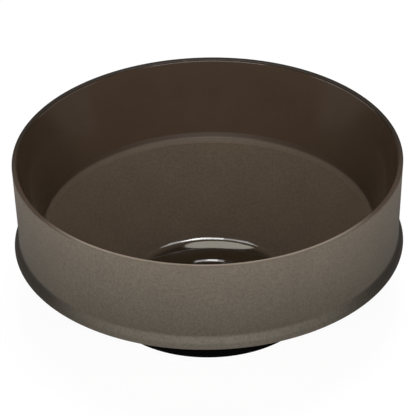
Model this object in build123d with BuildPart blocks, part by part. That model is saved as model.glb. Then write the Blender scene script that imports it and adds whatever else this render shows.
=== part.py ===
from build123d import *
import os
from math import atan2, cos, radians, sin, tan

# A magnetic pin bowl, in millimetres: a stoneware bowl on a short black foot that holds magnets.
# The bowl's axis is Z, and it stands on the plane z = 0.

# Outside of the bowl
rim_diameter = 150.0
bowl_height = 65.0
lip_thickness = 1.9
lip_inner_round = 1.1
lip_outer_round = 0.35
wall_taper = 1.65
flange_overhang = 2.0
flange_drop = 6.7
flange_thickness = 2.7
flange_top_inset = 0.8
flange_sweep_height = 2.6
flange_sweep_hollow = 0.15
flange_sweep_round = 0.6
flange_top_round = 0.5
flange_under_round = 0.5
belly_thickness = 6.0
belly_root_round = 8.0
shoulder_round = 0.5

# Inside of the bowl
wall_depth = 30.7
wall_lean = 9.15
floor_hollow = 0.6
corner_round = 1.2
well_diameter = 63.0
well_rise = 2.1
well_hollow = 0.27
well_edge_round = 5.0
well_thickness = 2.95
step_diameter = 36.8
step_height = 0.35
step_run = 0.9
step_round = 0.5

# Black foot: base ring, bond, cover and grip ring
base_wall = 2.3
base_ledge_overhang = 0.7
base_round = 0.7
spigot_clearance = 0.2
spigot_round = 0.4
bond_thickness = 0.4
bond_inset = 0.3
cover_thickness = 1.2
cover_clearance = 0.2
cover_chamfer = 0.3
grip_stand = 0.5
grip_width = 1.6
grip_chamfer = 0.35
groove_depth = 0.9
groove_clearance = 0.05

# Magnets, their carrier and their keeper
magnet_diameter = 6.0
magnet_thickness = 2.5
magnet_clearance = 0.1
magnets_between_screws = 5
keeper_thickness = 0.6
carrier_wall = 0.75
carrier_clearance = 0.2

# Well boss under the bowl and the foam pad below it
well_boss_inset = 1.0
well_boss_round = 0.6
pad_thickness = 0.5
pad_inset = 0.4

# Cover screws and the bosses that they enter
screw_count = 4
screw_diameter = 2.0
screw_head_diameter = 3.8
screw_head_angle = 90
screw_tip_chamfer = 0.3
screw_hole_clearance = 0.15
thread_clearance = 0.05
head_clearance = 0.05
recess_width = 0.5
recess_length = 2.0
recess_depth = 0.5
screw_tip_clearance = 0.2
boss_wall = 1.1
boss_top_clearance = 0.3
boss_pad_height = 0.4
rib_width = 2.0
notch_clearance = 0.3

# Heights, stacked up from the table
base_bottom = grip_stand
cover_top = base_bottom + cover_thickness
keeper_top = cover_top + keeper_thickness
carrier_height = magnet_thickness + magnet_clearance
seat_height = keeper_top + carrier_height
pad_top = cover_top + pad_thickness
boss_bottom = cover_top + boss_pad_height
boss_top = seat_height - boss_top_clearance
screw_top = boss_top - screw_tip_clearance
well_floor = pad_top + well_thickness
well_edge_height = well_floor + well_rise
corner_height = bowl_height - wall_depth
flange_height = corner_height - flange_drop
flange_top = flange_height + flange_thickness

# Radii of the bowl, from the rim inwards and from the axis outwards
rim_radius = rim_diameter / 2
wall_foot_radius = rim_radius - wall_taper
flange_radius = wall_foot_radius + flange_overhang
lip_inner_radius = rim_radius - lip_thickness
floor_radius = lip_inner_radius - wall_lean
well_radius = well_diameter / 2
step_radius = step_diameter / 2
well_boss_radius = well_radius - well_boss_inset

# Radii of the foot, from the well boss outwards past one magnet
pocket_radius = magnet_diameter / 2 + magnet_clearance
carrier_inner_radius = well_boss_radius + carrier_clearance
station_radius = carrier_inner_radius + carrier_wall + pocket_radius
carrier_outer_radius = station_radius + pocket_radius + carrier_wall
spigot_radius = carrier_outer_radius + carrier_clearance
base_inner_radius = spigot_radius + spigot_clearance
foot_radius = base_inner_radius + base_wall
ledge_inner_radius = base_inner_radius - base_ledge_overhang
grip_centre_radius = (foot_radius + ledge_inner_radius) / 2
screw_radius = screw_diameter / 2
screw_head_radius = screw_head_diameter / 2
boss_radius = screw_radius + thread_clearance + boss_wall
notch_radius = boss_radius + notch_clearance

# The belly runs parallel to the floor inside, so that the bowl has one thickness there
floor_slope = atan2(corner_height - well_edge_height, floor_radius - well_radius)
belly_start_radius = well_radius + belly_thickness * sin(floor_slope)
belly_start_height = well_edge_height - belly_thickness * cos(floor_slope)
belly_rise_share = tan(floor_slope)
shoulder_height = belly_start_height + (foot_radius - belly_start_radius) * belly_rise_share
belly_root_radius = belly_start_radius + (flange_height - belly_start_height) / belly_rise_share
base_top = shoulder_height - bond_thickness

# Stations round the foot: one for each screw, and between two screws one for each magnet
stations_per_screw = magnets_between_screws + 1
stations = PolarLocations(station_radius, screw_count * stations_per_screw).locations
screw_stations = stations[::stations_per_screw]
magnet_stations = [
    place for number, place in enumerate(stations) if number % stations_per_screw
]


def corner_at(sketch, place):
    """The sketch's corner at (radius, height)."""
    return sketch.vertices().sort_by_distance(Vector(*place))[0]


def round_corners(sketch, corners):
    """Rounds each corner of the sketch, given as (radius, height), by the size beside it."""
    for place, size in corners:
        fillet(corner_at(sketch, place), size)


# Stoneware bowl, turned from one section
with BuildPart() as bowl_body:
    well_centre = (0, well_floor)
    step_inner = (step_radius, well_floor)
    step_outer = (step_radius + step_run, well_floor + step_height)
    well_edge = (well_radius, well_edge_height)
    floor_corner = (floor_radius, corner_height)
    lip_inner = (lip_inner_radius, bowl_height)
    lip_outer = (rim_radius, bowl_height)
    sweep_top = (wall_foot_radius, flange_top + flange_sweep_height)
    flange_upper = (flange_radius - flange_top_inset, flange_top)
    flange_lower = (flange_radius, flange_height)
    belly_root = (belly_root_radius, flange_height)
    shoulder_outer = (foot_radius, shoulder_height)
    shoulder_inner = (spigot_radius, shoulder_height)
    spigot_foot = (spigot_radius, seat_height)
    seat_inner = (well_boss_radius, seat_height)
    well_boss_foot = (well_boss_radius, pad_top)
    with BuildSketch(Plane.XZ) as bowl_section:
        with BuildLine():
            Polyline(well_centre, step_inner, step_outer)
            SagittaArc(step_outer, well_edge, -well_hollow)
            SagittaArc(well_edge, floor_corner, -floor_hollow)
            Polyline(floor_corner, lip_inner, lip_outer, sweep_top)
            SagittaArc(sweep_top, flange_upper, -flange_sweep_hollow)
            Polyline(flange_upper, flange_lower, belly_root, shoulder_outer, shoulder_inner)
            Polyline(shoulder_inner, spigot_foot, seat_inner, well_boss_foot, (0, pad_top))
            Line((0, pad_top), well_centre)
        make_face()
        round_corners(
            bowl_section,
            [
                (step_inner, step_round),
                (step_outer, step_round),
                (well_edge, well_edge_round),
                (floor_corner, corner_round),
                (lip_inner, lip_inner_round),
                (lip_outer, lip_outer_round),
                (sweep_top, flange_sweep_round),
                (flange_upper, flange_top_round),
                (flange_lower, flange_under_round),
                (belly_root, belly_root_round),
                (shoulder_outer, shoulder_round),
                (spigot_foot, spigot_round),
                (well_boss_foot, well_boss_round),
            ],
        )
    revolve(axis=Axis.Z)
bowl_body.part.label = "bowl_body"
export_step(bowl_body.part, "parts/bowl_body.step")

# Silicone adhesive between the bowl's shoulder and the base ring
with BuildPart() as bond_ring:
    with BuildSketch(Plane.XY.offset(base_top)):
        Circle(foot_radius - bond_inset)
        Circle(base_inner_radius, mode=Mode.SUBTRACT)
    extrude(amount=bond_thickness)
bond_ring.part.label = "bond_ring"
export_step(bond_ring.part, "parts/bond_ring.step")

# Black moulded foot: a wall with a grooved ledge at the bottom, and a ribbed boss for each screw
with BuildPart() as base_ring:
    groove_inner = grip_centre_radius - grip_width / 2 - groove_clearance
    groove_outer = grip_centre_radius + grip_width / 2 + groove_clearance
    base_outer_bottom = (foot_radius, base_bottom)
    base_outer_top = (foot_radius, base_top)
    with BuildSketch(Plane.XZ) as base_section:
        with BuildLine():
            Polyline(
                base_outer_bottom,
                base_outer_top,
                (base_inner_radius, base_top),
                (base_inner_radius, cover_top),
                (ledge_inner_radius, cover_top),
                (ledge_inner_radius, base_bottom),
                (groove_inner, base_bottom),
                (groove_inner, base_bottom + groove_depth),
                (groove_outer, base_bottom + groove_depth),
                (groove_outer, base_bottom),
                base_outer_bottom,
            )
        make_face()
        round_corners(base_section, [(base_outer_top, base_round)])
    revolve(axis=Axis.Z)
    rib_length = base_inner_radius + base_wall / 2 - station_radius
    with BuildSketch(Plane.XY.offset(boss_bottom)):
        with Locations(*screw_stations):
            Circle(boss_radius)
            with Locations((rib_length / 2, 0)):
                Rectangle(rib_length, rib_width)
        with Locations(*screw_stations):
            Circle(screw_radius + thread_clearance, mode=Mode.SUBTRACT)
    extrude(amount=boss_top - boss_bottom)
base_ring.part.label = "base_ring"
export_step(base_ring.part, "parts/base_ring.step")

# Outline that the carrier and the keeper share: a flat ring, notched round each boss and its rib
with BuildSketch() as notched_ring:
    Circle(carrier_outer_radius)
    Circle(carrier_inner_radius, mode=Mode.SUBTRACT)
    with Locations(*screw_stations):
        Circle(notch_radius, mode=Mode.SUBTRACT)
        with Locations((notch_radius, 0)):
            Rectangle(2 * notch_radius, rib_width + 2 * notch_clearance, mode=Mode.SUBTRACT)

# Steel ring under the magnets
with BuildPart() as keeper_ring:
    with BuildSketch(Plane.XY.offset(cover_top)):
        add(notched_ring.sketch)
    extrude(amount=keeper_thickness)
keeper_ring.part.label = "keeper_ring"
export_step(keeper_ring.part, "parts/keeper_ring.step")

# Moulded ring that keeps the magnets apart
with BuildPart() as magnet_carrier:
    with BuildSketch(Plane.XY.offset(keeper_top)):
        add(notched_ring.sketch)
        with Locations(*magnet_stations):
            Circle(pocket_radius, mode=Mode.SUBTRACT)
    extrude(amount=carrier_height)
magnet_carrier.part.label = "magnet_carrier"
export_step(magnet_carrier.part, "parts/magnet_carrier.step")

# Disc magnets, one in each pocket, standing on the keeper
with BuildPart() as disc_magnets:
    with BuildSketch(Plane.XY.offset(keeper_top)):
        with Locations(*magnet_stations):
            Circle(magnet_diameter / 2)
    extrude(amount=magnet_thickness)
disc_magnets.part.label = "disc_magnets"
export_step(disc_magnets.part, "parts/disc_magnets.step")

# Foam disc between the cover and the boss under the well
with BuildPart() as well_pad:
    with BuildSketch(Plane.XY.offset(cover_top)):
        Circle(well_boss_radius - well_boss_round - pad_inset)
    extrude(amount=pad_thickness)
well_pad.part.label = "well_pad"
export_step(well_pad.part, "parts/well_pad.step")

# Cover of the base, countersunk from below, with a raised pad under each boss
with BuildPart() as bottom_cover:
    with BuildSketch(Plane.XY.offset(base_bottom)):
        Circle(ledge_inner_radius - cover_clearance)
    extrude(amount=cover_thickness)
    chamfer(bottom_cover.faces().sort_by(Axis.Z)[0].edges(), cover_chamfer)
    with BuildSketch(Plane.XY.offset(cover_top)):
        with Locations(*screw_stations):
            Circle(boss_radius)
    extrude(amount=boss_pad_height)
    with Locations(Plane(origin=(0, 0, base_bottom), z_dir=(0, 0, -1))):
        with PolarLocations(station_radius, screw_count):
            CounterSinkHole(
                screw_radius + screw_hole_clearance,
                screw_head_radius + head_clearance,
                counter_sink_angle=screw_head_angle,
            )
bottom_cover.part.label = "bottom_cover"
export_step(bottom_cover.part, "parts/bottom_cover.step")

# One countersunk screw with a cross recess, head down, on the Z axis
with BuildPart() as one_screw:
    head_height = (screw_head_radius - screw_radius) / tan(radians(screw_head_angle / 2))
    with BuildSketch(Plane.XZ):
        with BuildLine():
            Polyline(
                (0, base_bottom),
                (screw_head_radius, base_bottom),
                (screw_radius, base_bottom + head_height),
                (screw_radius, screw_top - screw_tip_chamfer),
                (screw_radius - screw_tip_chamfer, screw_top),
                (0, screw_top),
                (0, base_bottom),
            )
        make_face()
    revolve(axis=Axis.Z)
    with BuildSketch(Plane.XY.offset(base_bottom)):
        Rectangle(recess_length, recess_width)
        Rectangle(recess_width, recess_length)
    extrude(amount=recess_depth, mode=Mode.SUBTRACT)

# The screws of the cover
with BuildPart() as cover_screws:
    with Locations(*screw_stations):
        add(one_screw.part)
cover_screws.part.label = "cover_screws"
export_step(cover_screws.part, "parts/cover_screws.step")

# Silicone ring on which the bowl stands, pressed into the groove of the base ring
with BuildPart() as grip_ring:
    grip_inner = grip_centre_radius - grip_width / 2
    grip_outer = grip_centre_radius + grip_width / 2
    with BuildSketch(Plane.XZ) as grip_section:
        with BuildLine():
            Polyline(
                (grip_inner, 0),
                (grip_outer, 0),
                (grip_outer, base_bottom + groove_depth),
                (grip_inner, base_bottom + groove_depth),
                (grip_inner, 0),
            )
        make_face()
        for foot_corner in ((grip_inner, 0), (grip_outer, 0)):
            chamfer(corner_at(grip_section, foot_corner), grip_chamfer)
    revolve(axis=Axis.Z)
grip_ring.part.label = "grip_ring"
export_step(grip_ring.part, "parts/grip_ring.step")
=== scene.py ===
import math

import bpy
from mathutils import Euler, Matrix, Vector


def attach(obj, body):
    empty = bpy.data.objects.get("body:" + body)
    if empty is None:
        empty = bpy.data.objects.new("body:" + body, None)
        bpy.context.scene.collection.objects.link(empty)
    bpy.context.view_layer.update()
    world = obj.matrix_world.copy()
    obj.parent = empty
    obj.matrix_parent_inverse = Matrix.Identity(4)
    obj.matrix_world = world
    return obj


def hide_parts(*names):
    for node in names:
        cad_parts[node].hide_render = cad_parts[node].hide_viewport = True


# The looks of the magnetic pin bowl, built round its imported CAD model. Blender works in metres.
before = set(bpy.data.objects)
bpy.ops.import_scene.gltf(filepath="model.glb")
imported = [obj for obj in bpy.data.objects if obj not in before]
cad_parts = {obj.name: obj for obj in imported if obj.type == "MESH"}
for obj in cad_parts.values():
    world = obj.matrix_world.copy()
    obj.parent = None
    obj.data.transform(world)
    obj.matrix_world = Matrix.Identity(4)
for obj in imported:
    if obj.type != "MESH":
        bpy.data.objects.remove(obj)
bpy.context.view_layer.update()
MM = 0.001

# Section of the stoneware bowl, in millimetres, as the CAD source has it or works it out
RIM_RADIUS = 75.0
BOWL_HEIGHT = 65.0
LIP_THICKNESS = 1.9
LIP_INNER_ROUND = 1.1
LIP_OUTER_ROUND = 0.35
WALL_TAPER = 1.65
FLANGE_OVERHANG = 2.0
FLANGE_DROP = 6.7
FLANGE_THICKNESS = 2.7
FLANGE_TOP_INSET = 0.8
FLANGE_SWEEP_HEIGHT = 2.6
FLANGE_SWEEP_HOLLOW = 0.15
FLANGE_SWEEP_ROUND = 0.6
FLANGE_TOP_ROUND = 0.5
FLANGE_UNDER_ROUND = 0.5
BELLY_THICKNESS = 6.0
BELLY_ROOT_ROUND = 8.0
SHOULDER_ROUND = 0.5
WALL_DEPTH = 30.7
WALL_LEAN = 9.15
FLOOR_HOLLOW = 0.6
CORNER_ROUND = 1.2
WELL_RADIUS = 31.5
WELL_RISE = 2.1
WELL_HOLLOW = 0.27
WELL_EDGE_ROUND = 5.0
WELL_FLOOR = 5.15
STEP_RADIUS = 18.4
STEP_HEIGHT = 0.35
STEP_RUN = 0.9
STEP_ROUND = 0.5
FOOT_RADIUS = 41.1
SPIGOT_RADIUS = 38.6
SPIGOT_ROUND = 0.4
SEAT_HEIGHT = 4.9
WELL_BOSS_RADIUS = 30.5
WELL_BOSS_ROUND = 0.6
PAD_TOP = 2.2

# How finely the bowl is turned: ROUND_STEP and SOFT_BEND are in degrees, the other steps and runs in
# millimetres, and the rest are counts
ROUND_STEP = 7.0
RUN_STEP = 6.0
EDGE_STEP = 0.3
LEAST_RUN = 3 * EDGE_STEP
SOFT_BEND = 1.5
SEGMENTS = 288
DISH_SPANS = 8
FLOOR_SPANS = 14
SWEEP_SPANS = 6

# How far the rim strays from a true circle, in millimetres, and the waves in which it strays:
# the share of each, how often it goes up and down round the rim, and its start in radians
RIM_WANDER = 0.10
INWARD_WAVES = [(0.55, 2, 0.7), (0.3, 3, 2.1), (0.15, 5, 0.0)]
DOWNWARD_WAVES = [(0.6, 2, 2.6), (0.4, 4, 0.4)]


def point(radius, height):
    """A point of the section, in millimetres."""
    return Vector((radius, height))


def turned(vector, angle):
    """The vector turned anticlockwise by the angle, in radians."""
    c, s = math.cos(angle), math.sin(angle)
    return Vector((vector.x * c - vector.y * s, vector.x * s + vector.y * c))


def hollow_arc(start, end, hollow, count):
    """Points on the shallow arc from start to end, whose middle lies hollow below its chord."""
    chord = end - start
    radius = (chord.length ** 2 / 4 + hollow ** 2) / (2 * hollow)
    up = turned(chord.normalized(), math.pi / 2)
    centre = (start + end) / 2 + up * (radius - hollow)
    span = 2 * math.asin(chord.length / 2 / radius)
    return [centre + turned(start - centre, span * k / count) for k in range(count + 1)]


def rounded(before, corner, after, size):
    """Points of the round of that size in the corner between two straight runs."""
    back = (before - corner).normalized()
    ahead = (after - corner).normalized()
    turn = math.pi - math.acos(max(-1.0, min(1.0, back.dot(ahead))))
    first = corner + back * size * math.tan(turn / 2)
    centre = corner + (back + ahead).normalized() * size / math.cos(turn / 2)
    side = -1 if back.x * ahead.y - back.y * ahead.x > 0 else 1
    count = max(2, math.ceil(math.degrees(turn) / ROUND_STEP))
    return [centre + turned(first - centre, side * turn * k / count) for k in range(count + 1)]


def bowl_section():
    """The bowl's outline from the middle of the well, over the lip, to the middle underneath."""
    corner_height = BOWL_HEIGHT - WALL_DEPTH
    flange_height = corner_height - FLANGE_DROP
    flange_top = flange_height + FLANGE_THICKNESS
    wall_foot = RIM_RADIUS - WALL_TAPER
    well_centre = point(0, WELL_FLOOR)
    step_inner = point(STEP_RADIUS, WELL_FLOOR)
    step_outer = point(STEP_RADIUS + STEP_RUN, WELL_FLOOR + STEP_HEIGHT)
    well_edge = point(WELL_RADIUS, WELL_FLOOR + WELL_RISE)
    floor_corner = point(RIM_RADIUS - LIP_THICKNESS - WALL_LEAN, corner_height)
    lip_inner = point(RIM_RADIUS - LIP_THICKNESS, BOWL_HEIGHT)
    lip_outer = point(RIM_RADIUS, BOWL_HEIGHT)
    sweep_top = point(wall_foot, flange_top + FLANGE_SWEEP_HEIGHT)
    flange_upper = point(wall_foot + FLANGE_OVERHANG - FLANGE_TOP_INSET, flange_top)
    flange_lower = point(wall_foot + FLANGE_OVERHANG, flange_height)
    slope = math.atan2(corner_height - well_edge.y, floor_corner.x - well_edge.x)
    belly_start = well_edge + BELLY_THICKNESS * point(math.sin(slope), -math.cos(slope))
    rise_share = math.tan(slope)
    belly_root = point(belly_start.x + (flange_height - belly_start.y) / rise_share, flange_height)
    shoulder_height = belly_start.y + (FOOT_RADIUS - belly_start.x) * rise_share
    shoulder_outer = point(FOOT_RADIUS, shoulder_height)
    shoulder_inner = point(SPIGOT_RADIUS, shoulder_height)
    spigot_foot = point(SPIGOT_RADIUS, SEAT_HEIGHT)
    seat_inner = point(WELL_BOSS_RADIUS, SEAT_HEIGHT)
    well_boss_foot = point(WELL_BOSS_RADIUS, PAD_TOP)

    dish = hollow_arc(step_outer, well_edge, WELL_HOLLOW, DISH_SPANS)
    floor = hollow_arc(well_edge, floor_corner, FLOOR_HOLLOW, FLOOR_SPANS)
    sweep = hollow_arc(sweep_top, flange_upper, FLANGE_SWEEP_HOLLOW, SWEEP_SPANS)
    runs = [
        [well_centre],
        rounded(well_centre, step_inner, step_outer, STEP_ROUND),
        rounded(step_inner, step_outer, dish[1], STEP_ROUND),
        dish[1:-1],
        rounded(dish[-2], well_edge, floor[1], WELL_EDGE_ROUND),
        floor[1:-1],
        rounded(floor[-2], floor_corner, lip_inner, CORNER_ROUND),
        rounded(floor_corner, lip_inner, lip_outer, LIP_INNER_ROUND),
        rounded(lip_inner, lip_outer, sweep_top, LIP_OUTER_ROUND),
        rounded(lip_outer, sweep_top, sweep[1], FLANGE_SWEEP_ROUND),
        sweep[1:-1],
        rounded(sweep[-2], flange_upper, flange_lower, FLANGE_TOP_ROUND),
        rounded(flange_upper, flange_lower, belly_root, FLANGE_UNDER_ROUND),
        rounded(flange_lower, belly_root, shoulder_outer, BELLY_ROOT_ROUND),
        rounded(belly_root, shoulder_outer, shoulder_inner, SHOULDER_ROUND),
        [shoulder_inner],
        rounded(shoulder_inner, spigot_foot, seat_inner, SPIGOT_ROUND),
        [seat_inner],
        rounded(seat_inner, well_boss_foot, point(0, PAD_TOP), WELL_BOSS_ROUND),
        [point(0, PAD_TOP)],
    ]
    outline = [place for run in runs for place in run]
    return supported(outline)


def bend(before, place, after):
    """How sharply the outline turns at a place, in degrees."""
    ahead, back = after - place, place - before
    return math.degrees(abs(math.atan2(back.x * ahead.y - back.y * ahead.x, back.dot(ahead))))


def supported(outline):
    """The outline with points added on its longer runs, close to where they end in a round."""
    made = [outline[0]]
    last = len(outline) - 1
    for k in range(last):
        before, after = outline[k], outline[k + 1]
        length = (after - before).length
        marks = []
        if length > LEAST_RUN:
            if k > 0 and bend(outline[k - 1], before, after) > SOFT_BEND:
                marks.append(EDGE_STEP / length)
            count = math.ceil(length / RUN_STEP)
            marks += [share / count for share in range(1, count)]
            if k + 1 < last and bend(before, after, outline[k + 2]) > SOFT_BEND:
                marks.append(1 - EDGE_STEP / length)
        made += [before.lerp(after, share) for share in marks]
        made.append(after)
    return made


def lip_distances(outline):
    """How far each point lies along the outline from the middle of the lip: inside it is negative."""
    top = point(RIM_RADIUS - LIP_THICKNESS / 2, BOWL_HEIGHT)
    run = [0.0]
    for before, after in zip(outline, outline[1:]):
        run.append(run[-1] + (after - before).length)
    nearest = min(range(len(outline)), key=lambda k: (outline[k] - top).length)
    offset = run[nearest] + (top.x - outline[nearest].x)
    return [length - offset for length in run]


def swing(waves, angle):
    """The sum of the waves at that angle."""
    return sum(share * math.sin(count * angle + start) for share, count, start in waves)


def wander(angle, height):
    """The hand's small unevenness: how far a point is drawn inwards and down, in millimetres."""
    reach = RIM_WANDER * (height / BOWL_HEIGHT) ** 2
    inwards = reach * (1 + swing(INWARD_WAVES, angle)) / 2
    down = reach * (1 + swing(DOWNWARD_WAVES, angle)) / 2
    return inwards, down


def turned_bowl(name):
    """The stoneware bowl as one closed mesh, turned round the Z axis."""
    outline = bowl_section()
    distances = lip_distances(outline)
    rings = outline[1:-1]
    places = [(0.0, 0.0, outline[0].y * MM)]
    along = [distances[0]]
    for ring, distance in zip(rings, distances[1:-1]):
        for k in range(SEGMENTS):
            angle = 2 * math.pi * k / SEGMENTS
            inwards, down = wander(angle, ring.y)
            radius = ring.x - inwards
            height = ring.y - down
            places.append((radius * MM * math.cos(angle), radius * MM * math.sin(angle), height * MM))
            along.append(distance)
    last = len(places)
    places.append((0.0, 0.0, outline[-1].y * MM))
    along.append(distances[-1])

    faces = []
    for k in range(SEGMENTS):
        after = (k + 1) % SEGMENTS
        faces.append((0, 1 + k, 1 + after))
        for ring in range(len(rings) - 1):
            low = 1 + ring * SEGMENTS
            high = low + SEGMENTS
            faces.append((low + k, high + k, high + after, low + after))
        final = 1 + (len(rings) - 1) * SEGMENTS
        faces.append((final + k, last, final + after))
    mesh = bpy.data.meshes.new(name)
    mesh.from_pydata(places, [], faces)
    mesh.attributes.new("lip_distance", "FLOAT", "POINT").data.foreach_set("value", along)
    mesh.polygons.foreach_set("use_smooth", [True] * len(mesh.polygons))
    mesh.update()
    piece = bpy.data.objects.new(name, mesh)
    bpy.context.scene.collection.objects.link(piece)
    return piece


# Materials
def colour(red, green, blue):
    """A colour written as sRGB values from 0 to 255, as the linear colour that a shader takes."""
    def linear(value):
        share = value / 255
        return share / 12.92 if share <= 0.04045 else ((share + 0.055) / 1.055) ** 2.4
    return (linear(red), linear(green), linear(blue), 1.0)


def add(tree, kind, inputs=None, **settings):
    """Adds a node, sets it up, and sets or links its inputs."""
    node = tree.nodes.new(kind)
    for name, value in settings.items():
        setattr(node, name, value)
    for key, value in (inputs or {}).items():
        if isinstance(value, bpy.types.NodeSocket):
            tree.links.new(value, node.inputs[key])
        else:
            node.inputs[key].default_value = value
    return node


# Noise: how much of it is fine, and the part of its range that the patterns use
NOISE_ROUGHNESS = 0.55
NOISE_SPAN = (0.3, 0.7)


def noise(tree, place, size_mm, detail=3.0):
    """Noise whose features are about as large as stated."""
    return add(
        tree,
        "ShaderNodeTexNoise",
        {"Vector": place, "Scale": 1 / (size_mm * MM), "Detail": detail, "Roughness": NOISE_ROUGHNESS},
    ).outputs[0]


def spread(tree, value, from_min, from_max, to_min, to_max, smooth=False):
    """The value moved from one range to another and kept within it."""
    return add(
        tree,
        "ShaderNodeMapRange",
        {"Value": value, "From Min": from_min, "From Max": from_max, "To Min": to_min, "To Max": to_max},
        interpolation_type="SMOOTHSTEP" if smooth else "LINEAR",
    ).outputs["Result"]


def rising(tree, value, span):
    """Nought below the span, one above it, and smooth between."""
    return spread(tree, value, *span, 0.0, 1.0, smooth=True)


def falling(tree, value, span):
    """One below the span, nought above it, and smooth between."""
    return spread(tree, value, *span, 1.0, 0.0, smooth=True)


def calc(tree, operation, first, second):
    """One step of arithmetic."""
    return add(tree, "ShaderNodeMath", {0: first, 1: second}, operation=operation).outputs[0]


def mix_colour(tree, share, first, second):
    """A mix of two colours."""
    return add(tree, "ShaderNodeMix", {0: share, 6: first, 7: second}, data_type="RGBA").outputs[2]


def mix_value(tree, share, first, second):
    """A mix of two numbers."""
    return add(tree, "ShaderNodeMix", {0: share, 2: first, 3: second}, data_type="FLOAT").outputs[0]


def bumped(tree, strength, depth_mm, height):
    """The normal with that relief in it."""
    return add(
        tree, "ShaderNodeBump", {"Strength": strength, "Distance": depth_mm * MM, "Height": height}
    ).outputs["Normal"]


def new_material(name):
    """A material, its node tree, its shader and the place on the object that its patterns follow."""
    material = bpy.data.materials.new(name)
    material.use_nodes = True
    tree = material.node_tree
    shader = next(node for node in tree.nodes if node.type == "BSDF_PRINCIPLED")
    place = add(tree, "ShaderNodeTexCoord").outputs["Object"]
    return material, tree, shader, place


# Patterns of the plain surfaces: the tone's size as a multiple of the grain's, the grain's detail, the
# shares of the roughness between which the grain moves it, and the grain's depth in millimetres
TONE_SIZE_SHARE = 6
GRAIN_DETAIL = 4.0
ROUGHNESS_SHARES = (0.88, 1.12)
GRAIN_DEPTH = 0.05


def plain_surface(name, shade, roughness, mottle, grain_mm, bump, metallic=0.0, specular=0.5):
    """A moulded or plated surface: a slight mottle in its colour and a fine grain in its relief."""
    material, tree, shader, place = new_material(name)
    tone = noise(tree, place, grain_mm * TONE_SIZE_SHARE)
    grain = noise(tree, place, grain_mm, detail=GRAIN_DETAIL)
    base = colour(*shade)[:3]
    dark = tuple(value * (1 - mottle) for value in base) + (1.0,)
    light = tuple(min(1.0, value * (1 + mottle)) for value in base) + (1.0,)
    tree.links.new(mix_colour(tree, tone, dark, light), shader.inputs["Base Color"])
    rough = spread(tree, grain, *NOISE_SPAN, *(roughness * share for share in ROUGHNESS_SHARES))
    tree.links.new(rough, shader.inputs["Roughness"])
    tree.links.new(bumped(tree, bump, GRAIN_DEPTH, grain), shader.inputs["Normal"])
    shader.inputs["Metallic"].default_value = metallic
    shader.inputs["Specular IOR Level"].default_value = specular
    return material


# Colours of the stoneware, and how much each pattern lightens and darkens them
WALL_TOP = colour(119, 108, 95)
# Painted shade: the wall is painted darker towards its foot.
WALL_FOOT_SHADE = colour(88, 80, 68)
# Painted light and shade on the flange: its ledge is painted lit at the front, its side face is painted
# shaded there, and the whole flange is painted in shade at the sides and back.
FLANGE_FRONT_LIT = colour(112, 104, 90)
FLANGE_FACE_SHADE = colour(98, 90, 77)
FLANGE_SIDE_SHADE = colour(50, 43, 34)
SPECK = colour(70, 61, 52)
INNER_WALL = colour(84, 68, 55)
# Painted shade: the inner wall is painted darker away from the back.
INNER_SIDE_SHADE = colour(68, 54, 41)
FLOOR_EDGE = colour(98, 85, 71)
FLOOR_LOW = colour(96, 83, 70)
WELL = colour(50, 41, 29)
# On the lip: a painted highlight along its inner edge and painted light at the front, the brown glaze's
# own colour at the sides, and painted shade at the back.
LIP_PAINTED_HIGHLIGHT = colour(168, 153, 136)
LIP_FRONT_LIT = colour(112, 101, 87)
LIP_SIDE = colour(80, 63, 48)
LIP_BACK_SHADE = colour(44, 33, 22)
MOTTLE = 0.09
WALL_GRAIN = 0.17
FLOOR_GRAIN = 0.13

# Sizes of the glaze's patterns, in millimetres
RAGGED_SIZE = 1.6
BROAD_SIZE = 9.0
CLOUD_SIZE = 22.0
FINE_SIZE = 0.7
GRAIN_SIZE = 0.9
SPECK_SIZE = 0.55
POOL_SIZE = 14.0
PIT_SIZE = 0.9
SWELL_SIZE = 12.0

# How far the borders along the lip wander as the noise goes from nought to one, in millimetres, and
# the share of the ragged one by which the flange's borders wander
RAGGED_REACH = 0.9
BROAD_REACH = 0.5
FLANGE_REACH_SHARE = 0.6

# Borders along the lip, in millimetres from its middle: outwards is positive
INSIDE_BORDER = (-1.40, -1.00)
OUTSIDE_BORDER_FRONT = (0.75, 1.35)
OUTSIDE_BORDER_SIDE = (0.9, 2.6)
# Where the painted highlight along the lip's inner edge gives way
LIP_HIGHLIGHT_BORDER = (0.0, 0.9)
LIP_ROUGH_BORDER = (-1.0, -0.4)

# Borders by height above the table, in millimetres
# The wall's painted shade fades out over this span.
WALL_FADE = (33.0, 64.0)
FLANGE_BORDER = (31.8, 33.2)
# Below this lies the flange's side face, which is painted shaded at the front.
FLANGE_FACE_BORDER = (29.4, 30.4)
FLOOR_BORDER = (33.6, 35.4)
CORNER_TOP = (35.6, 37.0)

# Borders by distance from the axis, in millimetres
WELL_BORDER = (28.0, 32.0)
COAT_BORDER = (33.0, 36.0)
FLOOR_FADE = (33.0, 60.0)
INSIDE_FADE = (32.0, 68.0)
CORNER_START = (61.6, 63.0)
LEAST_RADIUS = 1.0

# Borders by how far round the bowl from its front: 1 at the front, 0 at the sides, -1 at the back
OUTSIDE_BORDER_TURN = (0.1, 0.75)
# These four place painted light and shade round the bowl.
FLANGE_TURN = (0.5, 1.0)
INNER_WALL_TURN = (-0.85, -0.25)
LIP_SHADE_TURN = (-0.3, 0.3)
LIP_LIT_TURN = (0.5, 0.85)

# Flecks: where in the noise they lie, and how strong they are
FLECK_SPAN = (0.66, 0.74)
FLECK_STRENGTH = 0.45

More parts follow.
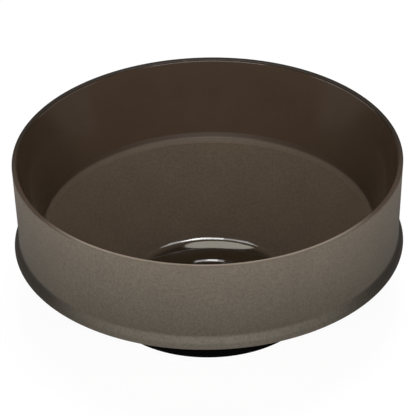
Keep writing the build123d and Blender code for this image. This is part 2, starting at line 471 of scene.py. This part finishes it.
# Roughness: of the wall, the flange, the inside from the well to the wall, and the lip
WALL_ROUGHNESS = (0.74, 0.84)
FLANGE_ROUGHNESS = (0.52, 0.60)
FLANGE_SIDE_ROUGHNESS = 0.9
INSIDE_ROUGHNESS = (0.045, 0.12)
CORNER_ROUGHNESS = 0.45
LIP_ROUGHNESS = (0.30, 0.72)
COAT_ROUGHNESS = 0.045
SPECULAR_LEVEL = 0.5

# Relief: its depth is in millimetres
PIT_STRENGTH = 0.35
RELIEF_STRENGTH = 0.35
RELIEF_DEPTH = 0.1


def shaded(tree, share, shade, amount):
    """The colour made darker by that amount where the noise is low, and lighter where it is high."""
    factor = spread(tree, share, *NOISE_SPAN, 1 - amount, 1 + amount)
    return add(tree, "ShaderNodeVectorMath", {0: shade, 3: factor}, operation="SCALE").outputs[0]


def strayed(tree, share, reach):
    """How far a border strays where the noise has that share: nought where it is a half."""
    return calc(tree, "MULTIPLY", calc(tree, "SUBTRACT", share, 0.5), reach)


def stoneware():
    """Glazed stoneware: matte and faintly speckled outside, brown on the lip, glossy brown inside.

    The lip and the flange are paler towards the front, and the inner wall is darker away from the
    back: this is painted light and shade, as is the wall's darkening towards its foot. At the front
    the pale line along the lip's inner edge is a painted highlight.
    """
    material, tree, shader, place = new_material("stoneware_glaze")
    along = add(tree, "ShaderNodeAttribute", attribute_name="lip_distance").outputs["Fac"]
    ragged = noise(tree, place, RAGGED_SIZE, detail=4.0)
    broad = noise(tree, place, BROAD_SIZE)
    cloud = noise(tree, place, CLOUD_SIZE, detail=2.0)
    fine = noise(tree, place, FINE_SIZE, detail=2.0)
    grain = noise(tree, place, GRAIN_SIZE, detail=2.0)
    speckle = noise(tree, place, SPECK_SIZE, detail=1.0)
    pool = noise(tree, place, POOL_SIZE)
    edge = strayed(tree, ragged, RAGGED_REACH)
    shifted = calc(tree, "ADD", along, calc(tree, "ADD", edge, strayed(tree, broad, BROAD_REACH)))

    # Where a point lies: how far round it is, and its height and its distance outwards in millimetres
    axes = add(tree, "ShaderNodeSeparateXYZ", {0: place}).outputs
    flat = add(tree, "ShaderNodeVectorMath", {0: place, 1: (1, 1, 0)}, operation="MULTIPLY").outputs[0]
    radius = add(tree, "ShaderNodeVectorMath", {0: flat}, operation="LENGTH").outputs["Value"]
    forwards = calc(tree, "MULTIPLY", axes["Y"], -1.0)
    front = calc(tree, "DIVIDE", forwards, calc(tree, "MAXIMUM", radius, LEAST_RADIUS * MM))
    height = calc(tree, "MULTIPLY", axes["Z"], 1 / MM)
    out = calc(tree, "MULTIPLY", radius, 1 / MM)
    ragged_height = calc(tree, "ADD", height, calc(tree, "MULTIPLY", edge, FLANGE_REACH_SHARE))

    # Shares of the glazes: inside or not, outside or the lip's band, flange or wall
    inside = falling(tree, shifted, INSIDE_BORDER)
    outside = mix_value(
        tree,
        falling(tree, front, OUTSIDE_BORDER_TURN),
        rising(tree, shifted, OUTSIDE_BORDER_FRONT),
        rising(tree, shifted, OUTSIDE_BORDER_SIDE),
    )
    flange = falling(tree, ragged_height, FLANGE_BORDER)
    # How far towards the front the flange lies: the share of its painted light, and of its roughness
    flange_front = rising(tree, front, FLANGE_TURN)

    # Outside: the wall is painted darker towards its foot as painted shade, and the flange has painted
    # light at the front and painted shade at the sides and back
    wall = mix_colour(tree, spread(tree, height, *WALL_FADE, 0.0, 1.0), WALL_FOOT_SHADE, WALL_TOP)
    face = falling(tree, ragged_height, FLANGE_FACE_BORDER)
    flange_painted_light = mix_colour(tree, face, FLANGE_FRONT_LIT, FLANGE_FACE_SHADE)
    flange_light_and_shade = mix_colour(tree, flange_front, FLANGE_SIDE_SHADE, flange_painted_light)
    matte = mix_colour(tree, flange, wall, flange_light_and_shade)
    matte = shaded(tree, cloud, matte, MOTTLE / 2)
    matte = shaded(tree, grain, matte, WALL_GRAIN)
    flecks = spread(tree, speckle, *FLECK_SPAN, 0.0, FLECK_STRENGTH, smooth=True)
    matte = mix_colour(tree, flecks, matte, SPECK)

    # Inside: the inner wall is painted darker away from the back, as painted shade
    basin = mix_colour(tree, spread(tree, out, *FLOOR_FADE, 0.0, 1.0), FLOOR_LOW, FLOOR_EDGE)
    basin = mix_colour(tree, falling(tree, out, WELL_BORDER), basin, WELL)
    basin = shaded(tree, grain, basin, FLOOR_GRAIN)
    inner_wall_and_shade = mix_colour(tree, rising(tree, front, INNER_WALL_TURN), INNER_WALL, INNER_SIDE_SHADE)
    gloss = mix_colour(tree, rising(tree, height, FLOOR_BORDER), basin, inner_wall_and_shade)
    gloss = shaded(tree, mix_value(tree, 0.5, pool, fine), gloss, MOTTLE)

    # Lip: the brown glaze at the sides, painted shade at the back, and at the front painted light with a
    # painted highlight along the inner edge
    brown = mix_colour(tree, rising(tree, front, LIP_SHADE_TURN), LIP_BACK_SHADE, LIP_SIDE)
    pale = mix_colour(tree, rising(tree, shifted, LIP_HIGHLIGHT_BORDER), LIP_PAINTED_HIGHLIGHT, LIP_FRONT_LIT)
    band = mix_colour(tree, rising(tree, front, LIP_LIT_TURN), brown, pale)
    band = shaded(tree, ragged, band, MOTTLE)

    skin = mix_colour(tree, outside, band, matte)
    skin = mix_colour(tree, inside, skin, gloss)
    tree.links.new(skin, shader.inputs["Base Color"])

    # Roughness
    wall_rough = spread(tree, fine, *NOISE_SPAN, *WALL_ROUGHNESS)
    flange_rough = spread(tree, fine, *NOISE_SPAN, *FLANGE_ROUGHNESS)
    flange_rough = mix_value(tree, flange_front, FLANGE_SIDE_ROUGHNESS, flange_rough)
    lip_rough = spread(tree, shifted, *LIP_ROUGH_BORDER, *LIP_ROUGHNESS)
    rough = mix_value(tree, outside, lip_rough, mix_value(tree, flange, wall_rough, flange_rough))
    corner = calc(tree, "MULTIPLY", rising(tree, out, CORNER_START), falling(tree, height, CORNER_TOP))
    inside_rough = spread(tree, out, *INSIDE_FADE, *INSIDE_ROUGHNESS)
    inside_rough = mix_value(tree, corner, inside_rough, CORNER_ROUGHNESS)
    tree.links.new(mix_value(tree, inside, rough, inside_rough), shader.inputs["Roughness"])

    # Relief, and a clear coat in the well
    pits = noise(tree, place, PIT_SIZE)
    swell = noise(tree, place, SWELL_SIZE, detail=1.0)
    relief = mix_value(tree, inside, calc(tree, "MULTIPLY", pits, PIT_STRENGTH), swell)
    tree.links.new(bumped(tree, RELIEF_STRENGTH, RELIEF_DEPTH, relief), shader.inputs["Normal"])
    coated = calc(tree, "MULTIPLY", inside, falling(tree, out, COAT_BORDER))
    tree.links.new(coated, shader.inputs["Coat Weight"])
    shader.inputs["Coat Roughness"].default_value = COAT_ROUGHNESS
    shader.inputs["Specular IOR Level"].default_value = SPECULAR_LEVEL
    return material


def dress(node, material):
    """Gives a CAD node its material."""
    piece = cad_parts[node]
    if not piece.material_slots:
        piece.data.materials.append(material)
    for place in piece.material_slots:
        place.material = material


# The bowl
bowl = turned_bowl("stoneware_bowl")
bowl.data.materials.append(stoneware())
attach(bowl, "root")
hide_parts("bowl_body")

# The parts of the foot keep their CAD shapes: the look of each, and the nodes that have it
FOOT_LOOKS = [
    (
        "black_moulding",
        ["base_ring", "bottom_cover"],
        dict(shade=(5, 3, 3), roughness=0.75, mottle=0.12, grain_mm=0.5, bump=0.35, specular=0.04),
    ),
    (
        "grip_silicone",
        ["grip_ring"],
        dict(shade=(26, 26, 27), roughness=0.62, mottle=0.10, grain_mm=0.35, bump=0.25),
    ),
    (
        "silicone_bead",
        ["bond_ring"],
        dict(shade=(38, 37, 36), roughness=0.45, mottle=0.08, grain_mm=0.8, bump=0.2),
    ),
    (
        "carrier_moulding",
        ["magnet_carrier"],
        dict(shade=(72, 74, 76), roughness=0.5, mottle=0.06, grain_mm=0.5, bump=0.3),
    ),
    (
        "nickel_plating",
        ["disc_magnets"],
        dict(shade=(196, 190, 178), roughness=0.22, mottle=0.04, grain_mm=0.4, bump=0.1, metallic=1.0),
    ),
    (
        "zinc_plated_steel",
        ["keeper_ring"],
        dict(shade=(168, 172, 176), roughness=0.34, mottle=0.08, grain_mm=0.9, bump=0.2, metallic=1.0),
    ),
    (
        "closed_cell_foam",
        ["well_pad"],
        dict(shade=(58, 58, 60), roughness=0.9, mottle=0.15, grain_mm=0.25, bump=0.8),
    ),
    (
        "blackened_steel",
        ["cover_screws"],
        dict(shade=(52, 52, 54), roughness=0.38, mottle=0.08, grain_mm=0.3, bump=0.15, metallic=1.0),
    ),
]
for look, nodes, settings in FOOT_LOOKS:
    surface = plain_surface(look, **settings)
    for node in nodes:
        dress(node, surface)

# Floor: a square of that size in metres. It lights the object as a pale surface, the camera sees it
# white with a little of the shadow, and the glaze mirrors it greyer.
FLOOR_SIZE = 12.0
WHITE = (1, 1, 1, 1)
FLOOR_SHADE = 0.9
SHOWN_GLOW = 0.94
SHOWN_SHADE = 0.12
MIRRORED_GLOW = 0.2
MIRRORED_SHADE = 0.6


def grey_diffuse(tree, shade):
    """A matte grey surface that reflects that share of the light."""
    return add(tree, "ShaderNodeBsdfDiffuse", {"Color": (shade, shade, shade, 1)}).outputs[0]


def glowing_floor(tree, glow, shade):
    """A surface that glows by that much, and adds that share of the light on it, with its shadow."""
    lit = grey_diffuse(tree, shade)
    glowing = add(tree, "ShaderNodeEmission", {"Color": WHITE, "Strength": glow}).outputs[0]
    return add(tree, "ShaderNodeAddShader", {0: lit, 1: glowing}).outputs[0]


def pale_floor():
    """The floor's material, which differs by who asks: the object, the camera or a reflection."""
    material = bpy.data.materials.new("pale_floor")
    material.use_nodes = True
    tree = material.node_tree
    tree.nodes.clear()
    path = add(tree, "ShaderNodeLightPath").outputs
    surface = grey_diffuse(tree, FLOOR_SHADE)
    for asked, seen in [
        ("Is Glossy Ray", glowing_floor(tree, MIRRORED_GLOW, MIRRORED_SHADE)),
        ("Is Camera Ray", glowing_floor(tree, SHOWN_GLOW, SHOWN_SHADE)),
    ]:
        surface = add(tree, "ShaderNodeMixShader", {0: path[asked], 1: surface, 2: seen}).outputs[0]
    tree.nodes.active = add(tree, "ShaderNodeOutputMaterial", {"Surface": surface})
    return material


floor_mesh = bpy.data.meshes.new("floor")
half = FLOOR_SIZE / 2
floor_corners = [(-half, -half, 0), (half, -half, 0), (half, half, 0), (-half, half, 0)]
floor_mesh.from_pydata(floor_corners, [], [(0, 1, 2, 3)])
floor_mesh.materials.append(pale_floor())
floor = bpy.data.objects.new("floor", floor_mesh)
bpy.context.scene.collection.objects.link(floor)

# Lights: each is a panel that faces the bowl, given by where it stands and its size, in metres, and how
# bright its face is, and by its shape and tint where it isn't a white rectangle. The photograph's
# camera looks along +Y.
AIM = Vector((0, 0, 0.03))
PANELS = {
    "front_low": {"place": (0.0, -1.10, 0.52), "size": (1.6, 0.5), "face": 3.2},
    "front_mid": {"place": (0.0, -0.90, 0.75), "size": (1.2, 0.5), "face": 0.5},
    "overhead": {"place": (0.0, 0.23, 1.05), "size": (0.95, 0.28), "face": 3.0},
    "overhead_core": {"place": (0.035, 0.165, 1.04), "size": (0.33, 0.31), "face": 5.5},
    "overhead_spot": {"place": (0.125, 0.165, 1.03), "size": (0.15, 0.31), "face": 4.9},
    "back": {
        "place": (-0.056, 0.743, 1.019),
        "size": (0.30, 0.165),
        "face": 1.85,
        "shape": "ELLIPSE",
        "tint": (1.0, 0.94, 0.82),
    },
    "left": {"place": (-1.10, 0.0, 0.17), "size": (1.0, 0.28), "face": 2.9},
    "right": {"place": (1.10, 0.0, 0.17), "size": (1.0, 0.28), "face": 1.6},
}


def add_panel(name, place, size, face, shape="RECTANGLE", tint=(1.0, 1.0, 1.0)):
    """A soft panel light that the camera doesn't see.

    A rectangle's face has that radiance. An ellipse of that size gives the same light from less area,
    so the radiance of its face is 4/pi times as high.
    """
    lamp = bpy.data.lights.new(name, "AREA")
    lamp.shape = shape
    lamp.size, lamp.size_y = size
    lamp.energy = face * math.pi * size[0] * size[1]
    lamp.color = tint
    light = bpy.data.objects.new(name, lamp)
    light.location = place
    light.rotation_mode = "QUATERNION"
    light.rotation_quaternion = (light.location - AIM).to_track_quat("Z", "Y")
    light.visible_camera = False
    bpy.context.scene.collection.objects.link(light)


for name, panel in PANELS.items():
    add_panel(name, **panel)

# A little light from all round
WORLD_LEVEL = 0.02

world = bpy.data.worlds.new("studio")
world.use_nodes = True
bpy.context.scene.world = world
sky = next(node for node in world.node_tree.nodes if node.type == "BACKGROUND")
sky.inputs["Color"].default_value = WHITE
sky.inputs["Strength"].default_value = WORLD_LEVEL

# Camera, at the photograph's angle: its lift and roll are in radians, its distance, target and clip
# range in metres, its lens and sensor in millimetres
CAMERA_LIFT = 0.574791
CAMERA_DISTANCE = 1.65
CAMERA_TARGET = Vector((-0.000125, 0, 0.04206))
CAMERA_LENS = 370.42
CAMERA_ROLL = math.radians(-1.10)
SENSOR_WIDTH = 36
NEAREST = 0.1
FARTHEST = 50

lens = bpy.data.cameras.new("camera")
lens.lens = CAMERA_LENS
lens.sensor_width = SENSOR_WIDTH
lens.clip_start = NEAREST
lens.clip_end = FARTHEST
camera = bpy.data.objects.new("camera", lens)
back = Vector((0, -math.cos(CAMERA_LIFT), math.sin(CAMERA_LIFT)))
camera.location = CAMERA_TARGET + back * CAMERA_DISTANCE
camera.rotation_mode = "QUATERNION"
roll = Euler((0, 0, CAMERA_ROLL)).to_quaternion()
camera.rotation_quaternion = back.to_track_quat("Z", "Y") @ roll
bpy.context.scene.collection.objects.link(camera)
bpy.context.scene.camera = camera

bpy.context.scene.view_settings.view_transform = "Standard"
